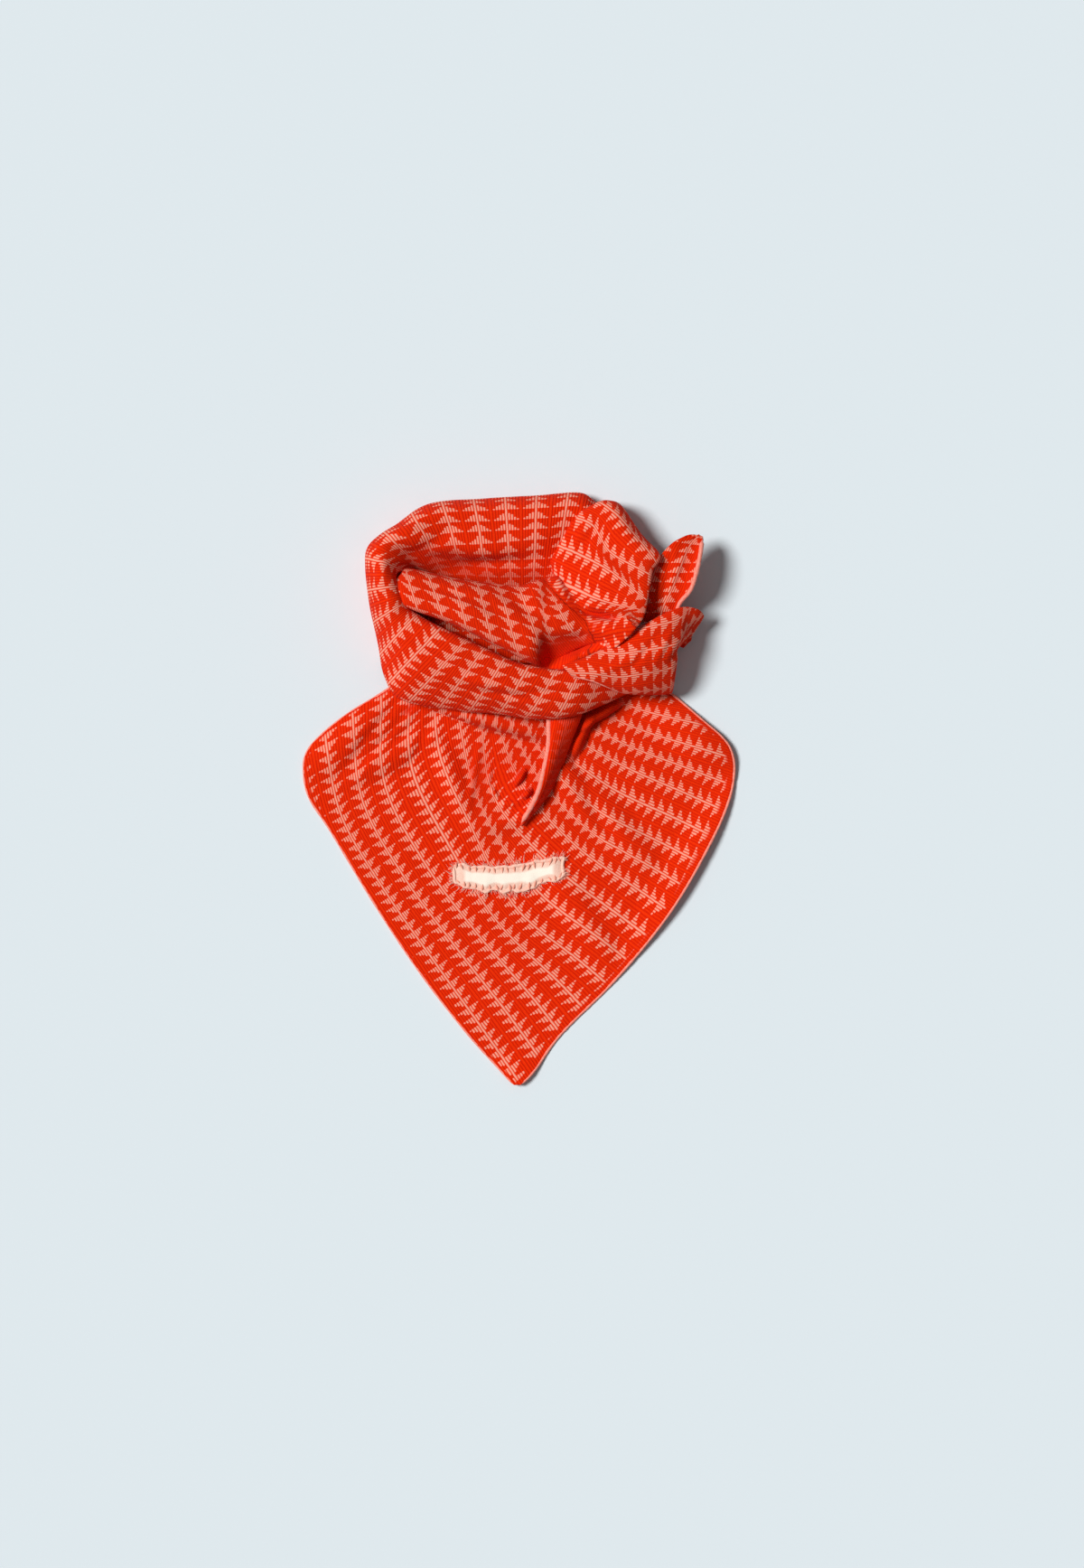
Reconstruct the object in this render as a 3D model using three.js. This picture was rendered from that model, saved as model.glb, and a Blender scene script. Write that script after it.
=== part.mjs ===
// Wool scarf: a square knitted neckerchief, wound into a collar with a pointed bib, laid on a surface.
// Millimetres, +Z up from the surface, +Y towards the neck opening, origin under the middle of the outline.
import * as THREE from 'three';

// Driving sizes
const WALL = 2.0;
const GAP = 0.5;
const LAYER_STEP = WALL + GAP;
const LABEL = { width: 77, height: 12, wall: 1.0, centre: [-7, -62], dip: 4.5, lift: 5 };
const BED = { x: -6, y: 107, length: 150, width: 76, turn: -14, sides: 24 };
const BED_LAYERS = { count: 4, height: 5, inset: 7, round: { in: 2, down: 1 } };
const BIB_UNDER_COLLAR = { from: 40, to: 84 };

// Grid steps of each piece, along its sections and across them
const STEPS = {
  bib: [34, 26], collar: [52, 16], inner: [38, 15], side: [20, 12],
  tail: [12, 8], hanging: [12, 6], throat: [14, 7], label: [16, 2],
};

// Where the named points of a section lie, as shares of the way from its inner to its outer edge
const ROLLED = [0.03, 0.0, 0.14, 0.5, 0.86, 1.0, 0.95, 0.8];
const OPEN = [0.0, 0.15, 0.32, 0.5, 0.68, 0.85, 0.95, 1.0];

// Collar wrap, from the back right, round the left, to the front right.
// Columns: inner x, y; outer x, y; heights at tuck, inside, crown, middle, shoulder, edge, hem, lip
const COLLAR = [
  [36, 148, 50, 202, 5, 6, 7, 12, 24, 13, 2, 1],
  [27, 146, 43, 208, 5, 6, 7, 13, 26, 14, 2, 1],
  [14, 144, 16, 206.5, 7, 7, 8, 12, 27, 15, 2, 1],
  [-10, 141, -22, 204, 7, 7, 7, 9, 26, 15, 2, 1],
  [-34, 144, -62, 200.5, 7, 7, 7, 9, 26, 15, 2, 1],
  [-52, 148, -86, 185.5, 7, 8, 9, 16, 31, 17, 2, 1],
  [-64, 151, -104.5, 172, 7, 9, 12, 27, 36, 19, 2, 1],
  [-86, 151, -107.5, 156, 7, 14, 33, 44, 36, 18, 2, 1],
  [-84, 136, -104.5, 129, 8, 20, 40, 48, 38, 19, 2, 1],
  [-75, 125, -98.5, 102, 16, 36, 47, 46, 32, 17, 2, 1],
  [-60, 115, -94, 80, 20, 43, 50, 46, 30, 18, 8, 7],
  [-43, 107, -83, 64, 22, 44, 51, 46, 31, 20, 12, 11],
  [-25, 98.5, -50, 57, 22, 44, 50, 46, 32, 20, 12, 11],
  [-2, 88, -13, 53.5, 22, 42, 48, 45, 33, 21, 13, 12],
  [22, 83.5, 13, 50, 22, 40, 45, 43, 33, 22, 14, 13],
  [42, 83, 37, 51.5, 22, 37, 41, 40, 33, 24, 16, 15],
  [60, 86, 57, 59, 20, 29, 31, 30, 26, 21, 17, 16],
  [76, 90, 76, 68, 18, 21, 22, 21, 20, 18, 16, 16],
];

// Inner wrap, from the left end of the roll, right along the slit, then round the lobe to the back notch
const INNER = [
  [-83, 147, -82, 140, 30, 35, 38, 40, 40, 38, 34, 32],
  [-76, 152, -74, 129.5, 26, 33, 39, 44.5, 46, 42, 35, 32],
  [-52, 147, -54.5, 119.5, 24, 31, 38, 46, 49, 44, 34, 25],
  [-30, 143, -36, 110.5, 23, 29, 37, 47, 50, 44, 32, 21.7],
  [0, 137, -6, 95.5, 23, 27, 35, 46, 49, 43, 31, 21.7],
  [19, 134.5, 20, 90, 22, 26, 33, 42, 46, 45, 35, 23],
  [26, 135, 44, 92.5, 20, 24, 32, 38, 47, 50, 46, 44],
  [30, 137, 69, 105.5, 19, 23, 31, 37, 50, 52, 48, 46],
  [31, 141, 85, 118, 18, 21, 29, 38, 51, 52, 47, 45],
  [31, 147, 90, 136, 17, 19, 26, 39, 50, 48, 40, 37.6],
  [30, 153, 93, 153, 16, 18, 24, 39, 49, 46, 39, 37.4],
  [29, 160, 98, 164, 16, 18, 23, 38, 47, 40, 31, 28],
  [31, 168, 85, 179.5, 17, 19, 24, 36, 44, 26, 3, 1],
  [36, 177, 72, 198.5, 20, 22, 27, 35, 41, 23, 3, 1],
  [41, 186, 63.5, 202.5, 25, 27, 31, 35, 38, 21, 3, 1],
  [46, 194, 57.5, 202, 30, 31, 32, 33, 33, 19, 3, 1],
];

// Side wrap, from its point under the lobe, right and round the side to the surface
const SIDE = [
  [31, 85.5, 37, 79.5, 45.5, 46, 46.5, 47, 46.5, 46, 45.5, 45],
  [50, 93, 53, 75.5, 42, 44, 47, 49, 47.5, 45, 43, 42.5],
  [67, 102, 71, 68.5, 40, 43, 47, 49, 42, 34, 30, 29],
  [86, 113, 89, 67, 37, 42, 47, 49, 40, 27, 19, 17],
  [104, 123, 104, 67.5, 35.5, 40, 43, 44, 33, 20, 12, 10],
  [114, 126.5, 108, 71, 31, 36, 39, 38, 30, 18, 9, 7],
  [121, 126.5, 108.5, 86, 26, 31, 33, 31, 24, 15, 7, 5],
  [127, 124.5, 112.5, 98, 21, 26, 27, 25, 20, 13, 6, 4],
  [129.5, 121, 121, 108.5, 16, 20, 20, 18, 16, 12, 8, 7],
  [121, 117, 112, 104, 9, 9, 8, 7, 6, 6, 6, 6],
];

// Upper tail, from its root under the side wrap to its tip
const TAIL = [
  [82, 117, 110, 119, 28, 28, 28, 28, 28, 28, 28, 28],
  [86, 128, 113, 130, 30, 31, 32, 32, 32, 31, 31, 32],
  [88, 141, 121, 140, 31, 33, 34, 34, 33, 33, 35, 37],
  [93, 154, 125.5, 154, 32, 34, 35, 35, 33, 33, 36, 38],
  [101, 165.5, 127.5, 163.5, 33, 34, 34, 33, 32, 32, 34, 36],
  [109, 173.5, 128.5, 170.5, 33, 33, 32, 31, 30, 30, 31, 33],
  [118.5, 178, 129, 174.5, 31, 30, 30, 29, 29, 29, 29, 30],
  [126.5, 178.5, 129.5, 177, 29, 29, 28, 28, 28, 28, 28, 28],
];

// Hanging tail, from its root under the collar down over the bib
const HANGING = [
  [21, 60, 43, 61, 10, 10, 10, 10, 10, 10, 10, 10],
  [20.5, 47, 41, 50, 9, 10, 10, 10, 9, 9, 8, 8],
  [20, 28, 33, 27, 7, 8, 9, 9, 8, 7, 6, 6],
  [15, 3, 23, 5, 5, 6, 7, 7, 6, 5, 5, 5],
  [9.5, -11, 15, -8, 4, 5, 5, 5, 5, 4, 4, 4],
  [1, -25.5, 3.5, -25, 4, 4, 4, 4, 4, 4, 4, 4],
];

// Throat fold, the layer that shows below the collar's front edge, from left to right
const THROAT = [
  [-62, 67, -66, 58, 6, 6, 7, 8, 8, 7, 6, 6],
  [-48, 66, -51, 51.5, 6, 6, 7, 9, 10, 8, 6, 6],
  [-22, 62, -22, 43, 6, 6, 7, 9, 10, 8, 6, 5],
  [2, 59, 5, 36, 6, 6, 7, 9, 10, 8, 6, 5],
  [15, 58, 15, 34, 6, 6, 7, 9, 9, 8, 6, 5],
];

// Bib outline, from the hidden top to the point. Columns: left x, y; right x, y
const BIB = [
  [-80, 80, 92, 79], [-96, 68.5, 110, 65.5], [-121, 53, 131.5, 47], [-140, 38, 143.5, 36.5],
  [-150, 26, 150, 27], [-152.3, 13, 152.3, 13], [-148.5, -6, 148.5, -8], [-132.5, -31, 135, -39],
  [-100.5, -84, 107, -87], [-68.5, -132, 69, -134], [-36.5, -173, 30, -173], [-13, -199, 11, -199],
  [-3.5, -209.3, 1, -209.3],
];

// Soft ridges of the bib. Columns: x, y, turn in degrees, length, width, height
const RIDGES = [
  [2, 100, 0, 300, 134, 17],
  [-118, 38, 38, 110, 46, 7],
  [128, 36, -32, 110, 46, 8],
  [133, -62, 58, 250, 74, 9],
  [4, -214, 8, 70, 66, 5],
  [-92, 22, 28, 96, 26, 4],
  [-48, 8, -68, 90, 24, 4],
  [34, 6, -62, 96, 26, 5],
  [70, -28, -52, 120, 34, 4],
  [-10, -22, 10, 70, 26, 3],
  [40, -84, -60, 120, 36, 3],
];

// Height of one soft ridge over a point of the surface
function ridge([x, y, turn, length, width, height], px, py) {
  const angle = THREE.MathUtils.degToRad(turn);
  const along = ((px - x) * Math.cos(angle) + (py - y) * Math.sin(angle)) / (length / 2);
  const across = ((py - y) * Math.cos(angle) - (px - x) * Math.sin(angle)) / (width / 2);
  const reach = along * along + across * across;
  return reach < 1 ? height * (1 - reach) ** 2 : 0;
}

// Middle of the bib's wall above the surface
function bibHeight(x, y) {
  return RIDGES.reduce((height, row) => height + ridge(row, x, y), WALL / 2);
}

// Smooth curve through evenly counted values
function curve(values, share) {
  const place = THREE.MathUtils.clamp(share, 0, 1) * (values.length - 1);
  const k = Math.min(Math.floor(place), values.length - 2);
  const t = place - k;
  const b = values[k];
  const c = values[k + 1];
  const a = k > 0 ? values[k - 1] : 2 * b - c;
  const d = k + 2 < values.length ? values[k + 2] : 2 * c - b;
  const slope = (c - a) * t;
  const bend = (2 * a - 5 * b + 4 * c - d) * t * t;
  const twist = (3 * b - a - 3 * c + d) * t * t * t;
  return b + (slope + bend + twist) / 2;
}

// A row of a table between its sections
function sectionAt(table, share) {
  return table[0].map((_, column) => curve(table.map((row) => row[column]), share));
}

// Point of a stretch of cloth, along its sections and across one section
function stretchPoint(table, stations, along, across, rest) {
  const [ix, iy, ox, oy, ...heights] = sectionAt(table, along);
  const share = curve(stations, across);
  const x = ix + (ox - ix) * share;
  const y = iy + (oy - iy) * share;
  return new THREE.Vector3(x, y, Math.max(curve(heights, across), rest(x, y)));
}

// Closed wall of the given thickness on both sides of a grid surface, never below the surface it lies on
function wallGeometry(point, [rows, columns], wall) {
  const middle = (i, j) => point(i / rows, j / columns);
  const tops = [];
  const bottoms = [];
  for (let i = 0; i <= rows; i += 1) {
    for (let j = 0; j <= columns; j += 1) {
      const down = middle(Math.min(i + 1, rows), j).sub(middle(Math.max(i - 1, 0), j));
      const side = middle(i, Math.min(j + 1, columns)).sub(middle(i, Math.max(j - 1, 0)));
      const out = side.cross(down).normalize().multiplyScalar(wall / 2);
      tops.push(middle(i, j).add(out));
      bottoms.push(middle(i, j).sub(out));
    }
  }
  const count = tops.length;
  const positions = [...tops, ...bottoms].flatMap((p) => [p.x, p.y, Math.max(p.z, 0)]);
  const faces = [];
  const quad = (a, b, c, d) => faces.push(a, b, c, a, c, d);
  const at = (i, j) => i * (columns + 1) + j;
  for (let i = 0; i < rows; i += 1) {
    for (let j = 0; j < columns; j += 1) {
      quad(at(i, j), at(i, j + 1), at(i + 1, j + 1), at(i + 1, j));
      quad(count + at(i, j), count + at(i + 1, j), count + at(i + 1, j + 1), count + at(i, j + 1));
    }
  }
  for (let j = 0; j < columns; j += 1) {
    quad(at(0, j), count + at(0, j), count + at(0, j + 1), at(0, j + 1));
    quad(at(rows, j), at(rows, j + 1), count + at(rows, j + 1), count + at(rows, j));
  }
  for (let i = 0; i < rows; i += 1) {
    quad(at(i, 0), at(i + 1, 0), count + at(i + 1, 0), count + at(i, 0));
    quad(at(i, columns), count + at(i, columns), count + at(i + 1, columns), at(i + 1, columns));
  }
  const geometry = new THREE.BufferGeometry();
  geometry.setAttribute('position', new THREE.Float32BufferAttribute(positions, 3));
  geometry.setIndex(faces);
  geometry.computeVertexNormals();
  return geometry;
}

// What each stretch rests on, as the lowest place for the middle of its wall
const onSurface = () => WALL / 2;
const onBib = (x, y) => bibHeight(x, y) + LAYER_STEP;
function onThroat(x, y) {
  const overBib = y > BIB_UNDER_COLLAR.from && y < BIB_UNDER_COLLAR.to;
  return overBib ? bibHeight(x, y) + 2 * LAYER_STEP : WALL / 2;
}

function bibPoint(along, across) {
  const [lx, ly, rx, ry] = sectionAt(BIB, along);
  const x = lx + (rx - lx) * across;
  const y = ly + (ry - ly) * across;
  return new THREE.Vector3(x, y, bibHeight(x, y));
}

function labelPoint(along, across) {
  const [cx, cy] = LABEL.centre;
  const x = cx + (along - 0.5) * LABEL.width;
  const wave = LABEL.lift * along * along - LABEL.dip * Math.sin(along * Math.PI);
  const y = cy + wave + (0.5 - across) * LABEL.height;
  return new THREE.Vector3(x, y, bibHeight(x, y) + WALL / 2 + GAP + LABEL.wall / 2);
}

// Hidden layers under the collar: a rounded bed, stepped at its edges, flat underneath
function bedGeometry() {
  const { count, height, inset, round } = BED_LAYERS;
  const steps = [];
  for (let k = 0; k < count; k += 1) {
    const top = (k + 1) * height;
    steps.push([k * inset, k * height], [k * inset, top - round.down], [k * inset + round.in, top]);
  }
  const profile = steps.map(([into, z]) => new THREE.Vector2(1 - into / (BED.width / 2), z));
  profile.push(new THREE.Vector2(0, count * height));
  const points = [new THREE.Vector2(0, 0), ...profile];
  const geometry = new THREE.LatheGeometry(points, BED.sides);
  geometry.rotateX(Math.PI / 2);
  geometry.scale(BED.length / 2, BED.width / 2, 1);
  geometry.rotateZ(THREE.MathUtils.degToRad(BED.turn));
  geometry.translate(BED.x, BED.y, 0);
  return geometry;
}

const RED = new THREE.Color('#e0330c');
const CREAM = new THREE.Color('#ead9c8');
const scarf = new THREE.Group();

function addPiece(name, geometry, colour = RED) {
  const material = new THREE.MeshStandardMaterial({ color: colour, roughness: 0.9, metalness: 0 });
  const mesh = new THREE.Mesh(geometry, material);
  mesh.name = name;
  scarf.add(mesh);
}

function addStretch(name, table, stations, steps, rest = onSurface) {
  const point = (along, across) => stretchPoint(table, stations, along, across, rest);
  addPiece(name, wallGeometry(point, steps, WALL));
}

addPiece('bib', wallGeometry(bibPoint, STEPS.bib, WALL));
addPiece('label', wallGeometry(labelPoint, STEPS.label, LABEL.wall), CREAM);
addStretch('collar_wrap', COLLAR, ROLLED, STEPS.collar, onThroat);
addStretch('inner_wrap', INNER, ROLLED, STEPS.inner);
addStretch('side_wrap', SIDE, ROLLED, STEPS.side);
addStretch('upper_tail', TAIL, OPEN, STEPS.tail);
addStretch('hanging_tail', HANGING, OPEN, STEPS.hanging, onBib);
addStretch('throat_fold', THROAT, OPEN, STEPS.throat, onBib);
addPiece('under_layers', bedGeometry());

export default scarf;
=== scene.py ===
import math

import bmesh
import bpy
import numpy as np
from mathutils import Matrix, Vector, kdtree, noise


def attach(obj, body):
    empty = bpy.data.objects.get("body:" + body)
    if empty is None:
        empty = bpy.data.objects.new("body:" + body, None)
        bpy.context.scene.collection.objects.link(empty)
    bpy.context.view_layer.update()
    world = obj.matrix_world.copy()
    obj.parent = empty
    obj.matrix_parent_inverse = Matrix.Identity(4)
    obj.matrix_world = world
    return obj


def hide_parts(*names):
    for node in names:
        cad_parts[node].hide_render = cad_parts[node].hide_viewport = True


# Wool scarf: a square knitted neckerchief wound into a collar, with its point as a bib, lying on a surface.
# Tables are in millimetres, as the scarf was measured. MM turns them into metres.
MM = 0.001
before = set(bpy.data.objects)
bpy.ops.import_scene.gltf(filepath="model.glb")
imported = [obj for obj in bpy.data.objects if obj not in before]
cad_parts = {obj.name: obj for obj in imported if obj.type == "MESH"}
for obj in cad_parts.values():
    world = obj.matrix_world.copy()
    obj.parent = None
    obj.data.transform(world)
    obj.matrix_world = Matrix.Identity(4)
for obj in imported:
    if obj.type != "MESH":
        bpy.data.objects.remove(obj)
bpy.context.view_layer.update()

# Cloth
WALL = 2.0
LAYER_STEP = 2.5
CLOTH = 1.7
FRAYED_HEIGHT = 3.6
LABEL = {"width": 77, "height": 12, "wall": 1.0, "centre": (-7, -62), "dip": 4.5, "lift": 5, "gap": 0.5}
BIB_UNDER_COLLAR = (40, 84)

# The pattern stops this far inside an edge, and fades in over a short way
PLAIN_MARGIN = 2.0
PATTERN_START = 0.8
BIB_RIGHT_MARGIN = 2.0

# What a distance along x counts for from a slanting edge: the bib's sides, and the seam at the lobe
BIB_EDGE_SLOPE = 0.82
SEAM_SLOPE = 0.85

# The knit: columns of stacked triangles
COLUMN = 16.4
PITCH = 7.4
COLLAR_STRETCH = 1.2

# Where the named points of a section lie, as shares of the way from its inner to its outer edge
ROLLED = [0.03, 0.0, 0.14, 0.5, 0.86, 1.0, 0.95, 0.8]
OPEN = [0.0, 0.15, 0.32, 0.5, 0.68, 0.85, 0.95, 1.0]

# Sections of each stretch of cloth.
# Columns: inner x, y; outer x, y; heights at tuck, inside, crown, middle, shoulder, edge, hem, lip
COLLAR = [
    [40, 134, 54, 201, 9, 11, 14, 21, 26, 13, 2, 1],
    [27, 132, 43, 208, 8, 10, 13, 20, 27, 14, 2, 1],
    [12, 130, 16, 206.5, 3, 3, 6, 24, 29, 15, 2, 1],
    [-12, 130, -22, 204, 2, 2, 3, 23, 30, 15, 2, 1],
    [-36, 134, -62, 200.5, 2, 2, 3, 22, 33, 16, 2, 1],
    [-54, 140, -86, 185.5, 2, 2, 3, 25, 39, 19, 2, 1],
    [-64, 151, -104.5, 172, 3, 4, 9, 36, 42, 21, 2, 1],
    [-84, 151, -107.5, 156, 5, 16, 40, 48, 38, 18, 2, 1],
    [-80, 136, -104.5, 129, 8, 26, 46, 50, 39, 19, 2, 1],
    [-75, 125, -98.5, 102, 16, 36, 47, 46, 32, 17, 2, 1],
    [-60, 115, -94, 80, 20, 43, 50, 46, 30, 18, 8, 7],
    [-43, 107, -83, 64, 22, 44, 51, 46, 31, 20, 12, 11],
    [-25, 98.5, -50, 57, 22, 44, 50, 46, 32, 20, 12, 11],
    [-2, 88, -13, 53.5, 22, 42, 48, 45, 33, 21, 13, 12],
    [22, 83.5, 13, 50, 22, 40, 45, 44, 36, 25, 15, 13],
    [42, 83, 37, 51.5, 22, 37, 42, 43, 38, 29, 19, 17],
    [60, 86, 57, 59, 20, 29, 33, 34, 31, 25, 19, 17],
    [76, 90, 76, 68, 18, 21, 22, 21, 20, 18, 16, 16],
]
INNER = [
    [-83, 150, -91, 138, 28, 34, 38, 41, 42, 42, 41, 40],
    [-77, 154, -78, 128, 22, 33, 42, 46.5, 47.5, 44, 34, 25],
    [-53, 149, -53, 119, 20, 32, 43, 48.5, 49.5, 42, 30, 22],
    [-30, 145, -34, 110, 20, 31, 42, 49, 50.5, 42, 29, 21.7],
    [-2, 142, -4, 95.5, 20, 29, 38, 46, 47, 39, 28, 21],
    [13, 145.5, 11, 88, 19, 29, 38, 46, 44, 32, 24, 19],
    [20, 147.5, 23, 84, 17, 26, 36, 45, 22, 21, 21, 20],
    [27, 149, 48, 88, 17, 26, 36, 44, 26, 24, 23, 23],
    [28, 148, 68, 100, 16, 21, 31, 41, 46, 48, 44, 41],
    [28, 147, 85, 118, 15, 21, 32, 42, 50, 51, 46, 44],
    [26, 150, 90, 136, 14, 20, 32, 43, 49, 48, 40, 37.6],
    [24, 155, 93, 153, 13, 19, 31, 42, 48, 46, 39, 37.4],
    [24, 162, 98, 164, 14, 20, 30, 40, 46, 40, 31, 28],
    [27, 170, 85, 179.5, 17, 21, 27, 36, 42, 26, 3, 1],
    [33, 179, 72, 198.5, 22, 25, 29, 35, 38, 23, 3, 1],
    [39, 188, 63.5, 202.5, 26, 28, 31, 34, 34, 20, 3, 1],
    [45, 195, 57.5, 202, 27, 28, 29, 30, 29, 18, 3, 1],
]
SIDE = [
    [31, 85.5, 37, 79.5, 45.5, 46, 46.5, 47, 46.5, 46, 45.5, 45],
    [50, 93, 53, 75.5, 42, 44, 47, 49, 47.5, 45, 43, 42.5],
    [67, 102, 71, 68.5, 40, 43, 47, 49, 42, 34, 30, 29],
    [86, 113, 89, 67, 37, 42, 47, 49, 40, 27, 19, 17],
    [104, 123, 104, 67.5, 35.5, 40, 43, 44, 33, 20, 12, 10],
    [114, 126.5, 108, 71, 31, 36, 39, 38, 30, 18, 9, 7],
    [121, 126.5, 108.5, 86, 26, 31, 33, 31, 24, 15, 7, 5],
    [127, 124.5, 112.5, 98, 21, 26, 27, 25, 20, 13, 6, 4],
    [129.5, 121, 120.5, 106, 16, 20, 20, 18, 16, 12, 8, 7],
    [125, 117, 115, 101, 9, 9, 8, 7, 6, 6, 6, 6],
]
TAIL = [
    [82, 117, 110, 119, 28, 28, 28, 28, 28, 28, 28, 28],
    [86, 128, 113, 130, 30, 31, 32, 32, 32, 31, 31, 32],
    [88, 141, 121, 140, 31, 33, 34, 34, 33, 33, 35, 37],
    [93, 154, 125.5, 154, 32, 34, 35, 35, 33, 33, 36, 38],
    [101, 165.5, 127.5, 163.5, 33, 34, 34, 33, 32, 32, 34, 36],
    [109, 173.5, 128.5, 170.5, 33, 33, 32, 31, 30, 30, 31, 33],
    [118.5, 178, 129, 174.5, 31, 30, 30, 29, 29, 29, 29, 30],
    [126.5, 178.5, 129.5, 177, 29, 29, 28, 28, 28, 28, 28, 28],
]
HANGING = [
    [20, 62, 46, 62, 15, 15, 15, 15, 14, 13, 13, 12],
    [20.5, 47, 43, 50, 18, 21, 22, 22, 21, 19, 17, 15],
    [20, 28, 35, 29, 18, 21, 21, 20, 17, 14, 12, 11],
    [15, 3, 26, 6, 16, 18, 17, 14, 10, 7, 5, 5],
    [9.5, -11, 18, -8, 12, 14, 13, 10, 7, 5, 4, 4],
    [1, -25.5, 4.5, -25.5, 8, 8, 7, 6, 5, 4, 4, 4],
]
THROAT = [
    [-62, 67, -66, 58, 6, 6, 7, 8, 8, 7, 6, 6],
    [-48, 66, -51, 51.5, 6, 6, 7, 9, 10, 8, 6, 6],
    [-22, 62, -22, 43, 6, 6, 7, 9, 10, 8, 6, 5],
    [2, 59, 5, 36, 6, 6, 7, 9, 10, 8, 6, 5],
    [26, 58, 26, 29, 6, 6, 7, 9, 9, 8, 6, 5],
]

# Bib outline, from the hidden top to the point. Columns: left x, y; right x, y
BIB = [
    [-80, 80, 92, 79], [-96, 68.5, 110, 65.5], [-121, 53, 131.5, 47], [-140, 38, 143.5, 36.5],
    [-150, 26, 150, 27], [-152.3, 13, 152.3, 13], [-148.5, -6, 148.5, -8], [-132.5, -31, 135, -39],
    [-100.5, -84, 107, -87], [-68.5, -132, 69, -134], [-36.5, -173, 30, -173], [-13, -199, 11, -199],
    [-3.5, -209.3, 1, -209.3],
]

# Soft ridges of the bib. Columns: x, y, turn in degrees, length, width, height
RIDGES = [
    [2, 100, 0, 300, 134, 17],
    [-118, 38, 38, 110, 46, 7],
    [128, 36, -32, 110, 46, 8],
    [133, -62, 58, 250, 74, 9],
    [4, -214, 8, 70, 66, 5],
    [-92, 22, 28, 96, 26, 4],
    [-48, 8, -68, 90, 24, 4],
    [34, 6, -62, 96, 26, 5],
    [70, -28, -52, 120, 34, 4],
    [-10, -22, 10, 70, 26, 3],
    [40, -84, -60, 120, 36, 3],
]

# Finer creases, moved out along the cloth's own normal. Columns as in RIDGES, a trough has a height below 0
CREASES = {
    "bib": [
        [2, 10, 60, 62, 50, 6],
        [52, 48, 40, 80, 44, 6],
        [58, 55, 34, 52, 15, -14],
        [44, 38, 66, 48, 13, -13],
        [50, 20, 10, 40, 18, 3],
        [1.2, 8.2, 57, 27, 6.5, -12],
        [5.6, -3.2, 44, 17, 6, -10],
        [-8, 12, 60, 40, 14, 3],
        [-12, 41, -16, 96, 7, -2.6],
        [-21, 10, 82, 26, 6, -2.4],
        [-16, -4, -45, 20, 6, -3.2],
        [-5, -10, 2, 26, 7, -3.6],
        [-6, -4, 10, 34, 12, 2.4],
        [-104, 40, 52, 90, 12, 1.6],
        [-92, 34, 50, 100, 9, -1.4],
        [-70, 30, 68, 80, 12, 1.2],
        [-22, 16, 84, 60, 10, 1.6],
        [-32, 10, 80, 70, 8, -1.4],
        [-10, -18, 8, 60, 10, 1.4],
        [56, -20, -55, 90, 14, 1.4],
        [64, -40, -48, 80, 9, -1.6],
        [46, -64, -30, 60, 12, -1.4],
        [20, -50, -20, 40, 10, -1.0],
        [96, 16, -22, 90, 14, 1.2],
        [92, 30, -16, 90, 9, -1.2],
        [-60, -60, -56, 110, 22, 0.8],
        [-20, -120, -50, 100, 26, 0.8],
        [60, -110, -58, 90, 20, -0.9],
    ],
    "collar": [
        [-38, 173, -5, 132, 26, 7],
        [-20, 160, 8, 110, 16, -2.0],
        [-60, 176, 30, 60, 12, -1.6],
        [10, 178, 4, 70, 18, 1.4],
        [-96, 150, 84, 50, 10, 1.2],
        [-56, 92, -28, 80, 8, -1.6],
        [-20, 74, -10, 70, 8, 1.4],
        [-10, 66, -8, 80, 7, -1.4],
        [20, 68, 0, 60, 8, -1.2],
    ],
    "inner": [
        [42, 92, 25, 52, 15, -12],
        [57, 122, -12, 36, 9, -9],
        [54, 129, -14, 44, 9, 2.5],
        [62, 111, -4, 40, 12, 2.4],
        [34, 112, 6, 60, 12, 1.6],
        [10, 124, -30, 44, 12, -1.6],
        [0, 112, -34, 50, 14, 1.6],
        [-4, 122, -40, 60, 14, 1.8],
        [60, 150, -20, 60, 12, 1.2],
        [62, 138, -12, 60, 8, -1.2],
        [42, 176, 60, 46, 9, 1.4],
        [48, 172, 62, 44, 8, -1.2],
        [-30, 124, -22, 60, 9, 1.2],
        [-44, 136, -16, 60, 8, -1.2],
    ],
    "side": [
        [112, 98, 54, 44, 4, -1.3],
        [108, 100, 54, 44, 4, 1.1],
        [117, 101, 50, 38, 4, -1.1],
        [100, 98, 62, 44, 6, 1.2],
        [88, 96, 50, 44, 8, -1.4],
        [72, 88, 22, 50, 8, 1.2],
    ],
    "tail": [
        [104, 150, 80, 50, 8, -1.2],
        [112, 156, 70, 40, 7, 1.0],
    ],
    "hanging": [],
    "throat": [
        [-14, 47, -14, 100, 14, 2.8],
    ],
}

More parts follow.
